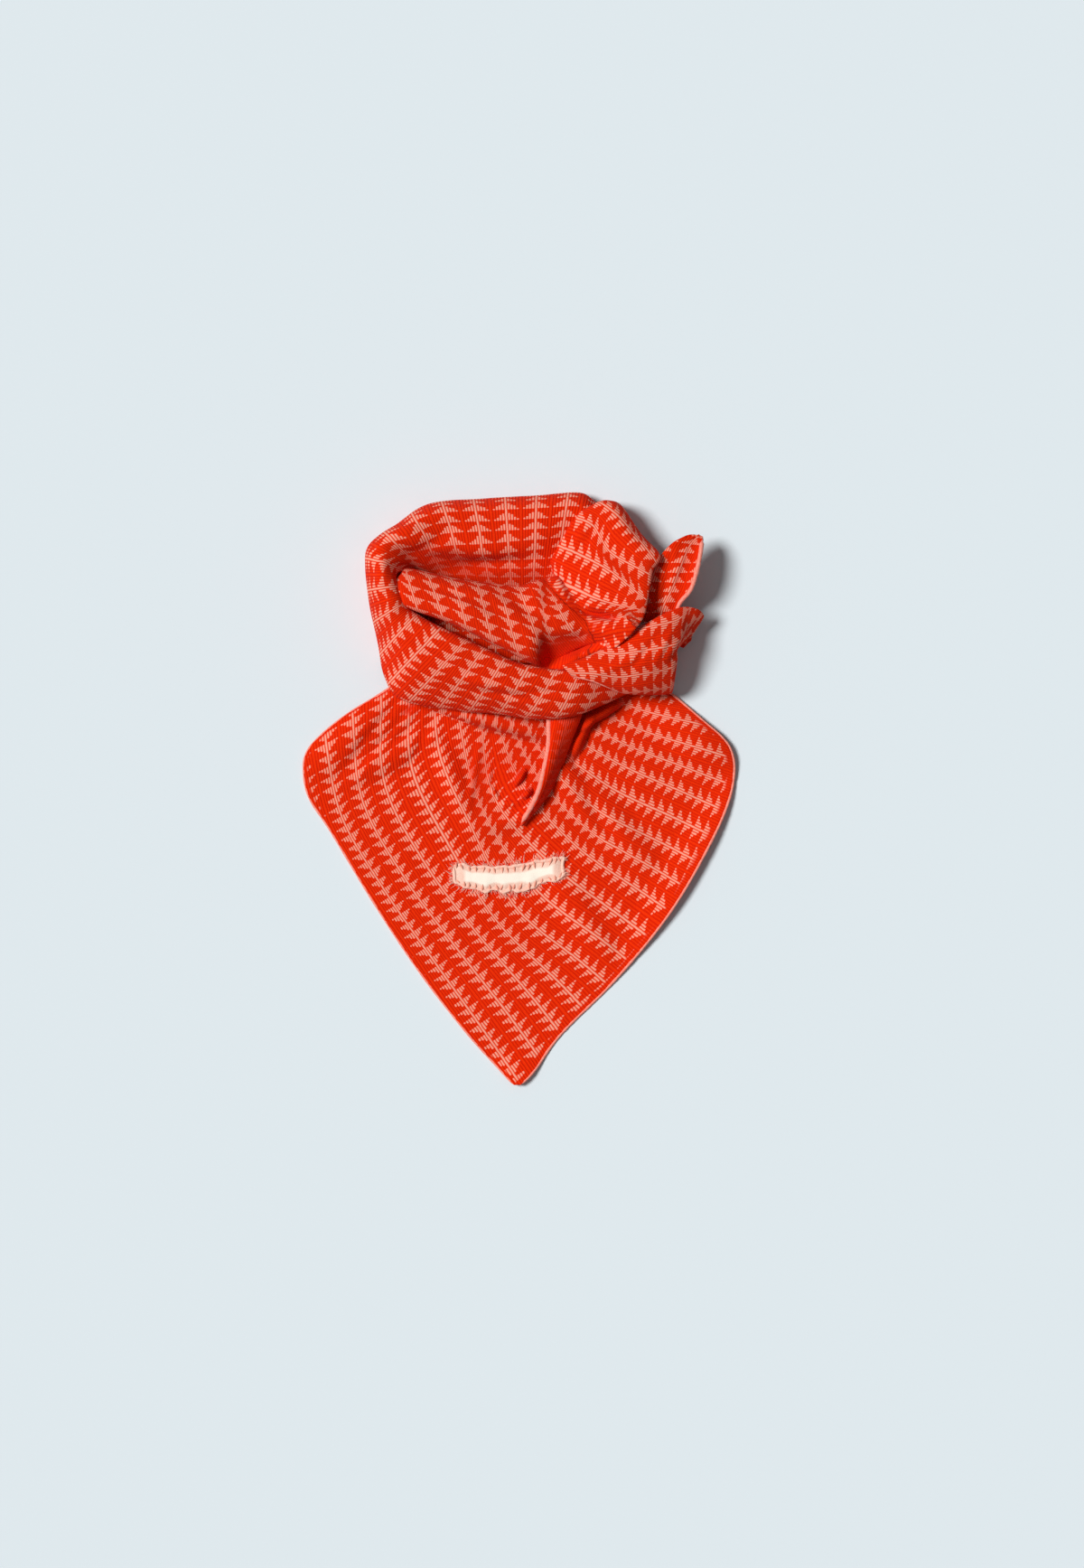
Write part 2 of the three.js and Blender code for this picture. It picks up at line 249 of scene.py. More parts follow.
# Columns of triangles over the bib, each with its number and then places along it as x, y.
# The places are one step of cloth apart.
BIB_KNIT_STEP = 64
BIB_KNIT = [
    [0.3, -152.6, 39, -137.3, -23.7, -104.6, -78.7, -68.8, -131.8, -33, -185, 3, -238],
    [3, -97.6, 67.8, -95, 3.8, -66.2, -53.1, -27.8, -104.3, 13, -151.7, 51.5, -203],
    [5, -58, 94.7, -57.3, 30.7, -33.6, -26.9, -2.2, -83.8, 47, -124.8, 95.7, -166.4],
    [7, -29.8, 117, -27.2, 56.3, -17, -6.4, 24.6, -54.4, 75.8, -92.8, 127, -131.2],
    [8, -18.9, 130, -18.9, 69, -1, 9, 38, -38, 90, -74.9, 143, -110.7],
    [10, -4, 150, -4, 86, 13, 30, 52, -12.2, 106.6, -41, 163.5, -70.4],
    [12, 10, 168, 12, 104, 26, 50, 66, 20.5, 122.6, -5.1, 180.8, -31.4],
    [15, 26, 196, 26, 134, 34, 80, 82, 57.6, 142.4, 42.2, 204.5, 26.9],
]

# How far the pattern of the fold at the throat lies beside the bib's
THROAT_SHIFT = (10, 4)

# Columns of triangles over the lobe, in the same way
LOBE_KNIT_STEP = 26
LOBE_KNIT = [
    [0, 44, 222, 68, 214, 90, 198, 108, 178],
    [1, 36, 206, 58, 200, 77, 184, 94, 162],
    [2, 28, 192, 50, 186, 64, 166, 88, 152],
    [3, 20, 172, 42, 164, 66, 151, 87, 134],
    [4, 10, 154, 33, 144, 58, 132, 82, 126],
    [5, -2, 128, 22, 122, 46, 117, 72, 120],
    [6, -2, 104, 22, 100, 46, 96, 72, 98],
]

# Line where the pattern of the roll gives way to that of the lobe. Columns: y, x
LOBE_SEAM = [[80, 60], [98, 54], [108, 52], [118, 46], [130, 32], [146, 17.6], [170, 22], [200, 20]]

# Where the pattern fades to plain red, as painted shade in the collar's hollow, the pocket and the bib's
# cavities and slits. Columns as in RIDGES, but the last is the share that is lost
HOLLOW_SHADE_FADE = [[-46, 156, -14, 110, 44, 0.9], [8, 150, -8, 60, 24, 0.5]]
LEAST_IN_HOLLOW = 0.3
TAIL_PATTERN_SHARE = 0.12
POCKET_SHADE_FADE = [[31, 95, 14, 64, 32, 2.0], [57, 122, -12, 40, 12, 0.9], [52, 110, 70, 30, 12, 0.9]]
BIB_SHADE_FADE = [
    [58, 55, 34, 60, 26, 1.5],
    [44, 38, 66, 60, 20, 1.5],
    [-16, 14, 0, 54, 42, 0.5],
    [1.2, 8.2, 57, 28, 10, 1.2],
    [5.6, -3.2, 44, 18, 9, 1.2],
    [-76, 57, 30, 34, 12, 1.0],
    [-30, 8, -80, 50, 14, 0.6],
]

# The pattern turns along the front band. Columns: share of the collar's length, lean, turn
BAND_LEAN = [[0.0, 0.0, 0.0], [0.62, 0.0, 0.0], [0.7, 0.1, 0.2], [0.8, 0.3, 0.25], [1.0, 0.35, 0.2]]


# Smooth curve through evenly counted rows of values
def curve(values, share):
    values = np.asarray(values, float)
    before = 2 * values[0] - values[1]
    after = 2 * values[-1] - values[-2]
    padded = np.concatenate([[before], values, [after]])
    place = np.clip(share, 0, 1) * (len(values) - 1)
    k = np.minimum(place.astype(int), len(values) - 2)
    t = (place - k).reshape((-1,) + (1,) * (values.ndim - 1))
    a, b, c, d = (padded[k + step] for step in range(4))
    slope = (c - a) * t
    bend = (2 * a - 5 * b + 4 * c - d) * t ** 2
    twist = (3 * b - a - 3 * c + d) * t ** 3
    return b + (slope + bend + twist) / 2


# Sum of soft ridges over points of the surface
def ridges(rows, x, y):
    total = np.zeros_like(x)
    for rx, ry, turn, length, width, height in rows:
        angle = math.radians(turn)
        along = ((x - rx) * math.cos(angle) + (y - ry) * math.sin(angle)) / (length / 2)
        across = ((y - ry) * math.cos(angle) - (x - rx) * math.sin(angle)) / (width / 2)
        reach = np.minimum(along ** 2 + across ** 2, 1)
        total += height * (1 - reach) ** 2
    return total


# Height of the bib's middle surface
def bib_height(x, y):
    return WALL / 2 + ridges(RIDGES, x, y)


# Lowest heights of the stretches that lie on the surface, on the bib, and on the fold at the throat
def on_surface(x, y):
    return np.full_like(x, WALL / 2)


def on_bib(x, y):
    return bib_height(x, y) + LAYER_STEP


def on_throat(x, y):
    low, high = BIB_UNDER_COLLAR
    return np.where((y > low) & (y < high), bib_height(x, y) + 2 * LAYER_STEP, WALL / 2)


# Places of a stretch of cloth over its sections and across them, as an array of rows, columns and x, y, z
def stretch_points(table, stations, rows, columns, rest):
    along = np.linspace(0, 1, rows + 1)
    across = np.linspace(0, 1, columns + 1)
    sections = curve(table, along)
    share = curve(stations, across)
    heights = curve(sections[:, 4:].T, across).T
    inner, outer = sections[:, None, 0:2], sections[:, None, 2:4]
    plan = inner + (outer - inner) * share[None, :, None]
    x, y = plan[..., 0], plan[..., 1]
    return np.dstack([x, y, np.maximum(heights, rest(x, y))])


# Places of the bib at shares down it and across it
def bib_points(down, across):
    sections = curve(BIB, down)
    share = across[None, :, None]
    plan = sections[:, None, 0:2] + (sections[:, None, 2:4] - sections[:, None, 0:2]) * share
    x, y = plan[..., 0], plan[..., 1]
    return np.dstack([x, y, bib_height(x, y)])


# Middle surface of the label's tape, a little above the bib
def label_points(rows, columns):
    along = np.linspace(0, 1, rows + 1)[:, None]
    across = np.linspace(0, 1, columns + 1)[None, :]
    cx, cy = LABEL["centre"]
    x = cx + (along - 0.5) * LABEL["width"] + 0 * across
    wave = LABEL["lift"] * along ** 2 - LABEL["dip"] * np.sin(along * math.pi)
    y = cy + wave + (0.5 - across) * LABEL["height"]
    z = bib_height(x, y) + WALL / 2 + LABEL["gap"] + LABEL["wall"] / 2
    return np.dstack([x, y, z])


# Directions out of a grid of places
def normals(points):
    down = np.gradient(points, axis=0)
    side = np.gradient(points, axis=1)
    out = np.cross(side, down)
    return out / np.maximum(np.linalg.norm(out, axis=2, keepdims=True), 1e-9)


# Creases and a slight unevenness, moved out along the cloth's normal
def creased(points, rows, unevenness=0.35, grain=22.0):
    lift = ridges(rows, points[..., 0], points[..., 1])
    soft = np.array([
        noise.noise(Vector(place) / grain) for place in points.reshape(-1, 3)
    ]).reshape(lift.shape)
    moved = points + normals(points) * (lift + unevenness * soft)[..., None]
    moved[..., 2] = np.maximum(moved[..., 2], CLOTH / 2)
    return moved


# Length of cloth along the middle line, and across each section from that line
def cloth_lengths(points):
    middle = points.shape[1] // 2
    steps = np.linalg.norm(np.diff(points[:, middle], axis=0), axis=1)
    along = np.concatenate([[0], np.cumsum(steps)])
    steps = np.linalg.norm(np.diff(points, axis=1), axis=2)
    across = np.concatenate([np.zeros((len(points), 1)), np.cumsum(steps, axis=1)], axis=1)
    across -= across[:, middle:middle + 1]
    return along, across


# Knit places, in mm across and along the columns of triangles, at places of the surface.
# Each takes the nearest place of a fine grid of columns, and adds what it lies beside that place.
def knit_places(table, step, plan):
    fine = 8
    rows = np.asarray(table, float)
    steps = (rows.shape[1] - 1) // 2 - 1
    lines = curve(rows, np.linspace(0, 1, (len(rows) - 1) * fine + 1))
    along_columns = lines[:, 1:].reshape(len(lines), -1, 2).transpose(1, 0, 2)
    grid = curve(along_columns, np.linspace(0, 1, steps * fine + 1)).transpose(1, 0, 2)
    u = np.repeat(lines[:, :1] * COLUMN, grid.shape[1], axis=1)
    v = np.repeat(np.linspace(0, steps * step, grid.shape[1])[None], len(lines), axis=0)
    du = np.gradient(grid, axis=0) / np.gradient(u, axis=0)[..., None]
    dv = np.gradient(grid, axis=1) / np.gradient(v, axis=1)[..., None]
    tree = kdtree.KDTree(u.size)
    flat = grid.reshape(-1, 2)
    for number, (x, y) in enumerate(flat):
        tree.insert((x, y, 0), number)
    tree.balance()
    spots = plan.reshape(-1, 2)
    near = np.array([tree.find((x, y, 0))[1] for x, y in spots])
    off = spots - flat[near]
    a, c = du.reshape(-1, 2)[near].T
    b, d = dv.reshape(-1, 2)[near].T
    turn = a * d - b * c
    u_off = (off[:, 0] * d - off[:, 1] * b) / turn
    v_off = (off[:, 1] * a - off[:, 0] * c) / turn
    places = np.stack([u.ravel()[near] + u_off, v.ravel()[near] + v_off], axis=1)
    return places.reshape(plan.shape)


# Adds a grid of places to a bmesh, with its knit places in mm as UVs and how strongly its pattern shows
def add_grid(sheet, points, knit, pattern):
    rows, columns = points.shape[0] - 1, points.shape[1] - 1
    uv_layer = sheet.loops.layers.uv.verify()
    pattern_layer = sheet.verts.layers.float["pattern"]
    made = bmesh.ops.create_grid(sheet, x_segments=rows, y_segments=columns, size=0.5)
    index = {
        vert: (round((vert.co.x + 0.5) * rows), round((vert.co.y + 0.5) * columns))
        for vert in made["verts"]
    }
    faces = {face for vert in made["verts"] for face in vert.link_faces}
    for vert, place in index.items():
        vert.co = Vector(points[place]) * MM
        vert[pattern_layer] = pattern[place]
    for face in faces:
        for loop in face.loops:
            loop[uv_layer].uv = knit[index[loop.vert]]
        face.smooth = True
    return made["verts"]


# Empty bmesh with the UV map "knit" and the attribute "pattern"
def new_sheet():
    sheet = bmesh.new()
    sheet.loops.layers.uv.new("knit")
    sheet.verts.layers.float.new("pattern")
    return sheet


# Sheet of cloth over a grid of places
def cloth_sheet(name, points, knit, pattern, thickness, material):
    sheet = new_sheet()
    add_grid(sheet, points, knit, pattern)
    return finished(name, sheet, material, thickness)


# Object from a bmesh, with a wall where it has a thickness in mm
def finished(name, sheet, material, thickness=0.0):
    mesh = bpy.data.meshes.new(name)
    sheet.to_mesh(mesh)
    sheet.free()
    piece = bpy.data.objects.new(name, mesh)
    bpy.context.scene.collection.objects.link(piece)
    mesh.materials.append(material)
    if thickness:
        wall = piece.modifiers.new("thickness", "SOLIDIFY")
        wall.thickness = thickness * MM
        wall.offset = 0
    return piece


def full_pattern(points):
    return np.ones(points.shape[:2])


# Pattern that stops at a plain margin, from distances to the edge
def inside_margin(distance):
    return np.clip((distance - PLAIN_MARGIN) / PATTERN_START, 0, 1)


# Even places along a smooth line through points
def smooth_line(points, count):
    fine = curve(points, np.linspace(0, 1, count * 4))
    lengths = np.concatenate([[0], np.cumsum(np.linalg.norm(np.diff(fine, axis=0), axis=1))])
    even = np.linspace(0, lengths[-1], count)
    return np.stack([np.interp(even, lengths, fine[:, axis]) for axis in range(fine.shape[1])], axis=1)


# Round roll of yarn along a line, uneven in thickness and thin at its ends
def add_roll(sheet, line, radius, sides=10, seed=0.0):
    taper_points = 3
    unevenness = 0.22
    grain = 2.2
    tangent = np.gradient(line, axis=0)
    tangent /= np.linalg.norm(tangent, axis=1, keepdims=True)
    aside = np.cross(tangent, (0.0, 0.0, 1.0))
    aside /= np.linalg.norm(aside, axis=1, keepdims=True)
    up = np.cross(aside, tangent)
    angle = np.linspace(0, 2 * math.pi, sides + 1)
    end = np.minimum(np.arange(len(line)), np.arange(len(line))[::-1]) / taper_points
    shift = Vector((seed, 0, 0))
    size = np.array([1 + unevenness * noise.noise(Vector(place) / grain + shift) for place in line])
    size *= np.clip(end, 0.05, 1) * radius
    ring = aside[:, None] * np.cos(angle)[None, :, None] + up[:, None] * np.sin(angle)[None, :, None]
    points = line[:, None] + ring * size[:, None, None]
    along = np.concatenate([[0], np.cumsum(np.linalg.norm(np.diff(line, axis=0), axis=1))])
    knit = np.dstack(np.broadcast_arrays(angle[None, :] * radius, along[:, None]))
    verts = add_grid(sheet, points, knit, full_pattern(points))
    bmesh.ops.remove_doubles(sheet, verts=verts, dist=0.01 * MM)


# Materials

# Node group with its inputs and outputs, and the nodes that they start and end at
def new_group(name, inputs, outputs):
    group = bpy.data.node_groups.new(name, "ShaderNodeTree")
    for label, kind, default in inputs:
        socket = group.interface.new_socket(label, in_out="INPUT", socket_type=kind)
        socket.default_value = default
    for label, kind in outputs:
        group.interface.new_socket(label, in_out="OUTPUT", socket_type=kind)
    start = group.nodes.new("NodeGroupInput")
    end = group.nodes.new("NodeGroupOutput")
    return group, start, end


# One maths step, with links or numbers as its inputs
def step(tree, operation, *inputs):
    node = tree.nodes.new("ShaderNodeMath")
    node.operation = operation
    for socket, value in zip(node.inputs, inputs):
        if isinstance(value, (int, float)):
            socket.default_value = value
        else:
            tree.links.new(value, socket)
    return node.outputs[0]


# Mix of two colours, which may be links or values
def mix_colours(tree, share, first, second):
    node = tree.nodes.new("ShaderNodeMix")
    node.data_type = "RGBA"
    for name, value in (("Factor", share), ("A", first), ("B", second)):
        if isinstance(value, bpy.types.NodeSocket):
            tree.links.new(value, node.inputs[name])
        else:
            node.inputs[name].default_value = value
    return node.outputs["Result"]


# Stacked triangles with stepped sides, and the knit's own relief, from knit places in mm.
# A wale is a column of stitches, and a course is a row of them.
def knit_group():
    ridge_swing = 0.8
    ridge_level = 0.62
    loop_slant = 0.5
    ridge_share = 0.7
    loop_share = 0.3
    group, start, end = new_group(
        "jacquard knit",
        [
            ("Place", "NodeSocketVector", (0, 0, 0)),
            ("Column", "NodeSocketFloat", COLUMN),
            ("Pitch", "NodeSocketFloat", PITCH),
            ("Base", "NodeSocketFloat", 14.6),
            ("Rise", "NodeSocketFloat", 6.1),
            ("Hollow", "NodeSocketFloat", 1.05),
            ("Wale", "NodeSocketFloat", 1.6),
            ("Course", "NodeSocketFloat", 0.9),
            ("Wobble", "NodeSocketFloat", 0.5),
        ],
        [("Motif", "NodeSocketFloat"), ("Ridge", "NodeSocketFloat"), ("Height", "NodeSocketFloat")],
    )
    value = {socket.name: socket for socket in start.outputs}
    wander = group.nodes.new("ShaderNodeTexNoise")
    wander.inputs["Scale"].default_value = 0.35
    wander.inputs["Detail"].default_value = 2
    group.links.new(value["Place"], wander.inputs["Vector"])
    split = group.nodes.new("ShaderNodeSeparateXYZ")
    group.links.new(value["Place"], split.inputs[0])
    tint = group.nodes.new("ShaderNodeSeparateColor")
    group.links.new(wander.outputs["Color"], tint.inputs[0])
    off_u = step(group, "MULTIPLY", step(group, "SUBTRACT", tint.outputs[0], 0.5), value["Wobble"])
    off_v = step(group, "MULTIPLY", step(group, "SUBTRACT", tint.outputs[1], 0.5), value["Wobble"])
    u = step(group, "ADD", split.outputs[0], off_u)
    v = step(group, "ADD", split.outputs[1], off_v)

    column = step(group, "ROUND", step(group, "DIVIDE", u, value["Column"]))
    from_column = step(group, "SUBTRACT", u, step(group, "MULTIPLY", column, value["Column"]))
    wale = step(group, "ROUND", step(group, "DIVIDE", from_column, value["Wale"]))
    aside = step(group, "ABSOLUTE", step(group, "MULTIPLY", wale, value["Wale"]))
    course = step(group, "FLOOR", step(group, "DIVIDE", v, value["Course"]))
    row = step(group, "MULTIPLY", step(group, "ADD", course, 0.5), value["Course"])
    repeat = step(group, "FLOORED_MODULO", row, value["Pitch"])
    left = step(group, "SUBTRACT", 1.0, step(group, "DIVIDE", repeat, value["Rise"]))
    hollow = step(group, "POWER", step(group, "MAXIMUM", left, 0.0), value["Hollow"])
    half = step(group, "MULTIPLY", step(group, "MULTIPLY", value["Base"], 0.5), hollow)
    inside = step(group, "LESS_THAN", aside, half)
    trunk = step(group, "LESS_THAN", aside, step(group, "MULTIPLY", value["Wale"], 0.5))
    motif = step(group, "MAXIMUM", inside, trunk)

    turns = step(group, "MULTIPLY", step(group, "DIVIDE", from_column, value["Wale"]), 2 * math.pi)
    wave = step(group, "MULTIPLY_ADD", step(group, "COSINE", turns), ridge_swing, ridge_level)
    ridge = step(group, "MINIMUM", step(group, "MAXIMUM", wave, 0.0), 1.0)
    half_turns = step(group, "DIVIDE", turns, 2)
    slant = step(group, "MULTIPLY", step(group, "ABSOLUTE", step(group, "SINE", half_turns)), loop_slant)
    along = step(group, "ADD", step(group, "DIVIDE", v, value["Course"]), slant)
    loops = step(group, "ABSOLUTE", step(group, "SINE", step(group, "MULTIPLY", along, math.pi)))
    ridge_height = step(group, "MULTIPLY", ridge, ridge_share)
    height = step(group, "ADD", ridge_height, step(group, "MULTIPLY", loops, loop_share))
    for output, socket in (("Motif", motif), ("Ridge", ridge), ("Height", height)):
        group.links.new(socket, end.inputs[output])
    return group


# Loose fibre over the knit: a fine mottle for colour and height
def fuzz_group():
    group, start, end = new_group(
        "wool fuzz",
        [("Scale", "NodeSocketFloat", 900.0)],
        [("Mottle", "NodeSocketFloat")],
    )
    place = group.nodes.new("ShaderNodeTexCoord")
    fine = group.nodes.new("ShaderNodeTexNoise")
    fine.inputs["Detail"].default_value = 3
    group.links.new(place.outputs["Object"], fine.inputs["Vector"])
    group.links.new(start.outputs["Scale"], fine.inputs["Scale"])
    group.links.new(fine.outputs["Fac"], end.inputs["Mottle"])
    return group


RED = (0.84, 0.030, 0.001, 1)
# Colours for between the wales: painted shade in the furrows of the ground and of the figure
FURROW_SHADE_RED = (0.70, 0.014, 0.0005, 1)
PINK = (0.97, 0.37, 0.27, 1)
FURROW_SHADE_PINK = (0.82, 0.060, 0.018, 1)
KNIT_GROUP = knit_group()
FUZZ_GROUP = fuzz_group()


# Matt cloth or yarn with a soft sheen
def shader(name, roughness, sheen, sheen_tint):
    material = bpy.data.materials.new(name)
    material.use_nodes = True
    tree = material.node_tree
    principled = tree.nodes["Principled BSDF"]
    principled.inputs["Roughness"].default_value = roughness
    principled.inputs["Specular IOR Level"].default_value = 0.06
    principled.inputs["Sheen Weight"].default_value = sheen
    principled.inputs["Sheen Roughness"].default_value = 0.5
    principled.inputs["Sheen Tint"].default_value = sheen_tint
    return material, tree, principled


# Relief of a surface, at most a distance in mm
def bump(tree, principled, height, distance, strength):
    node = tree.nodes.new("ShaderNodeBump")
    node.inputs["Distance"].default_value = distance * MM
    node.inputs["Strength"].default_value = strength
    tree.links.new(height, node.inputs["Height"])
    tree.links.new(node.outputs["Normal"], principled.inputs["Normal"])


def fuzz_node(tree, scale=900.0):
    fuzz = tree.nodes.new("ShaderNodeGroup")
    fuzz.node_tree = FUZZ_GROUP
    fuzz.inputs["Scale"].default_value = scale
    return fuzz


def attribute(tree, name):
    node = tree.nodes.new("ShaderNodeAttribute")
    node.attribute_name = name
    return node.outputs["Fac"]


# Pink figure on a red ground, each painted darker between the wales as shade in the furrows
def knit_material():
    material, tree, principled = shader("wool knit", 0.95, 0.04, (1.0, 0.45, 0.4, 1))
    place = tree.nodes.new("ShaderNodeUVMap")
    place.uv_map = "knit"
    knit = tree.nodes.new("ShaderNodeGroup")
    knit.node_tree = KNIT_GROUP
    tree.links.new(place.outputs["UV"], knit.inputs["Place"])
    fuzz = fuzz_node(tree)
    # Darker between the wales, as painted shade
    ground = mix_colours(tree, knit.outputs["Ridge"], FURROW_SHADE_RED, RED)
    figure = mix_colours(tree, knit.outputs["Ridge"], FURROW_SHADE_PINK, PINK)
    figure_mask = step(tree, "MULTIPLY", knit.outputs["Motif"], attribute(tree, "pattern"))
    colour = mix_colours(tree, figure_mask, ground, figure)
    mottle, least = 0.35, 0.82
    shade = step(tree, "MULTIPLY_ADD", fuzz.outputs["Mottle"], mottle, least)
    mottled = tree.nodes.new("ShaderNodeMix")
    mottled.data_type = "RGBA"
    mottled.blend_type = "MULTIPLY"
    mottled.inputs["Factor"].default_value = 1.0
    tree.links.new(colour, mottled.inputs["A"])
    tree.links.new(shade, mottled.inputs["B"])
    tree.links.new(mottled.outputs["Result"], principled.inputs["Base Color"])
    height = step(tree, "MULTIPLY_ADD", fuzz.outputs["Mottle"], 0.5, knit.outputs["Height"])
    bump(tree, principled, height, 0.5, 0.8)
    return material


# Cream tape, pinker at its rim. Its attribute "pattern" is 1 in the clean middle
def label_material():
    material, tree, principled = shader("woven tape", 0.85, 0.15, (1, 1, 1, 1))
    fuzz = fuzz_node(tree, 1600)
    rim = mix_colours(tree, fuzz.outputs["Mottle"], (0.80, 0.38, 0.28, 1), (0.98, 0.80, 0.68, 1))
    middle = mix_colours(tree, fuzz.outputs["Mottle"], (0.94, 0.80, 0.66, 1), (1.0, 0.97, 0.88, 1))
    colour = mix_colours(tree, attribute(tree, "pattern"), rim, middle)
    tree.links.new(colour, principled.inputs["Base Color"])
    bump(tree, principled, fuzz.outputs["Mottle"], 0.3, 0.6)
    return material


def floor_material():
    material = bpy.data.materials.new("pale surface")
    material.use_nodes = True
    principled = material.node_tree.nodes["Principled BSDF"]
    principled.inputs["Base Color"].default_value = (0.70, 0.78, 0.83, 1)
    principled.inputs["Roughness"].default_value = 0.85
    return material


# Loose yarn of the sewn edges and stitches
def yarn_material(name, dark, light):
    material, tree, principled = shader(name, 0.95, 0.1, (1.0, 0.7, 0.65, 1))
    fuzz = fuzz_node(tree, 700)
    colour = mix_colours(tree, fuzz.outputs["Mottle"], dark, light)
    tree.links.new(colour, principled.inputs["Base Color"])
    bump(tree, principled, fuzz.outputs["Mottle"], 0.4, 0.7)
    return material


WOOL = knit_material()
TAPE = label_material()
YARN = yarn_material("selvedge yarn", (0.80, 0.10, 0.05, 1), (0.98, 0.46, 0.38, 1))
TUFT = yarn_material("label fray", (0.86, 0.34, 0.24, 1), (1.0, 0.78, 0.66, 1))
THREAD = yarn_material("label thread", (0.70, 0.22, 0.15, 1), (0.93, 0.47, 0.35, 1))

# Pieces


# Knit places of a stretch whose columns run across it
def strip_knit(points, lean=0.0):
    along, across = cloth_lengths(points)
    return np.dstack([along[:, None] + lean * across, across])


# Hangs a sheet of cloth on the root, and hides the part that it stands for
def declare(piece, node):
    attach(piece, "root")
    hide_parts(node)


# One stretch of the wound cloth, and the places that it passes through
def add_stretch(name, node, table, stations, steps, rest, creases, knit,
                pattern=full_pattern):
    rows, columns = steps
    plain = stretch_points(table, stations, rows, columns, rest)
    points = creased(plain, CREASES[creases])
    piece = cloth_sheet(name, points, knit(plain, table), pattern(plain), CLOTH, WOOL)
    declare(piece, node)
    return points


# Distance to the right of the seam between the roll's pattern and the lobe's
def past_seam(points):
    seam_y, seam_x = np.array(LOBE_SEAM, float).T
    return points[..., 0] - np.interp(points[..., 1], seam_y, seam_x)


# Pattern of the inner stretch: plain beside the seam, and faded in the pocket as painted shade, which also
# hides the stretched triangles there
def inner_pattern(points):
    painted_shade = ridges(POCKET_SHADE_FADE, points[..., 0], points[..., 1])
    return inside_margin(np.abs(past_seam(points)) * SEAM_SLOPE) * np.clip(1 - painted_shade, 0, 1)


# The pattern is weak inside the hollow of the collar, a painted shade that darkens it
def hollow_shade_pattern(points):
    painted_shade = ridges(HOLLOW_SHADE_FADE, points[..., 0], points[..., 1])
    return np.clip(1 - painted_shade, LEAST_IN_HOLLOW, 1)


# The collar is stretched round the neck, so its columns lie further apart
def collar_knit(points, table):
    share, lean, turn = np.array(BAND_LEAN).T
    place = np.linspace(0, 1, len(points))
    along, across = cloth_lengths(points)
    slope = np.interp(place, share, turn)
    drift = np.concatenate([[0], np.cumsum(slope[1:] * np.diff(along))])
    u = along[:, None] + np.interp(place, share, lean)[:, None] * across
    return np.dstack([u / COLLAR_STRETCH, across - drift[:, None]])


# The fold at the throat goes on with the bib's columns, a little aside
def throat_knit(points, table):
    return knit_places(BIB_KNIT, BIB_KNIT_STEP, points[..., 0:2] + THROAT_SHIFT)


# The hanging tail shows hardly any pattern
def faint_tail_pattern(points):
    return full_pattern(points) * TAIL_PATTERN_SHARE


# Unrolled plan of a stretch: each section laid out flat from its middle point
def unrolled(points, table):
    sections = curve(table, np.linspace(0, 1, len(points)))
    out = sections[:, 2:4] - sections[:, 0:2]
    out /= np.linalg.norm(out, axis=1, keepdims=True)
    _, across = cloth_lengths(points)
    middle = points[:, points.shape[1] // 2, 0:2]
    return middle[:, None] + out[:, None] * across[..., None]


# The roll's columns lean across it, and the lobe's fan out
def inner_knit(points, table):
    lean = -0.4
    closeness = (0.9, 1)
    roll = strip_knit(points, lean) * closeness
    lobe = knit_places(LOBE_KNIT, LOBE_KNIT_STEP, unrolled(points, table))
    return np.where(past_seam(points)[..., None] > 0, lobe, roll)


# Columns of triangles run along the side wrap, not across it
def side_knit(points, table):
    along, across = cloth_lengths(points)
    return np.dstack([across, along[:, None] + 0 * across])


add_stretch("collar_cloth", "collar_wrap", COLLAR, ROLLED, (320, 96), on_throat, "collar",
            collar_knit, hollow_shade_pattern)
add_stretch("inner_cloth", "inner_wrap", INNER, ROLLED, (260, 90), on_surface, "inner",
            inner_knit, inner_pattern)
side = add_stretch("side_cloth", "side_wrap", SIDE, ROLLED, (170, 70), on_surface, "side",
                   side_knit)
tail = add_stretch("tail_cloth", "upper_tail", TAIL, OPEN, (90, 50), on_surface, "tail",
                   side_knit)
hanging = add_stretch("hanging_cloth", "hanging_tail", HANGING, OPEN, (110, 36), on_bib, "hanging",
                      side_knit, faint_tail_pattern)
add_stretch("throat_cloth", "throat_fold", THROAT, OPEN, (100, 40), on_bib, "throat",
            throat_knit)


# Shares from 0 to 1 that lie closer together round a place
def closer(count, centre, width, extra):
    samples = 400
    share = np.linspace(0, 1, samples)
    total = np.cumsum(1 + extra * np.exp(-((share - centre) / width) ** 2))
    return np.interp(np.linspace(total[0], total[-1], count + 1), total, share)


# The bib, with a closer grid at the throat, where its creases are finest
def add_bib():
    rows, columns = ((220, 190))
    down = closer(rows, centre=0.42, width=0.1, extra=1.6)
    share = closer(columns, centre=0.5, width=0.09, extra=2.0)
    plain = bib_points(down, share)
    points = creased(plain, CREASES["bib"], unevenness=0.5, grain=30.0)
    width = np.linalg.norm(plain[:, -1:] - plain[:, :1], axis=2) * BIB_EDGE_SLOPE
    distance = np.minimum(share * width, (1 - share) * width - BIB_RIGHT_MARGIN)
    knit = knit_places(BIB_KNIT, BIB_KNIT_STEP, plain[..., 0:2])
    # The pattern fades in the bib's cavities and slits, as painted shade
    painted_shade = ridges(BIB_SHADE_FADE, plain[..., 0], plain[..., 1])
    pattern = inside_margin(distance) * np.clip(1 - painted_shade, 0, 1)
    piece = cloth_sheet("bib_cloth", points, knit, pattern, CLOTH, WOOL)
    declare(piece, "bib")
    return points


# Two rolls round the label's rim. Columns: first place, rise in mm, radius in mm, seed
RIM_ROLLS = [[0, 0.5, 1.3, 2.0], [3, 0.9, 0.9, 8.0]]


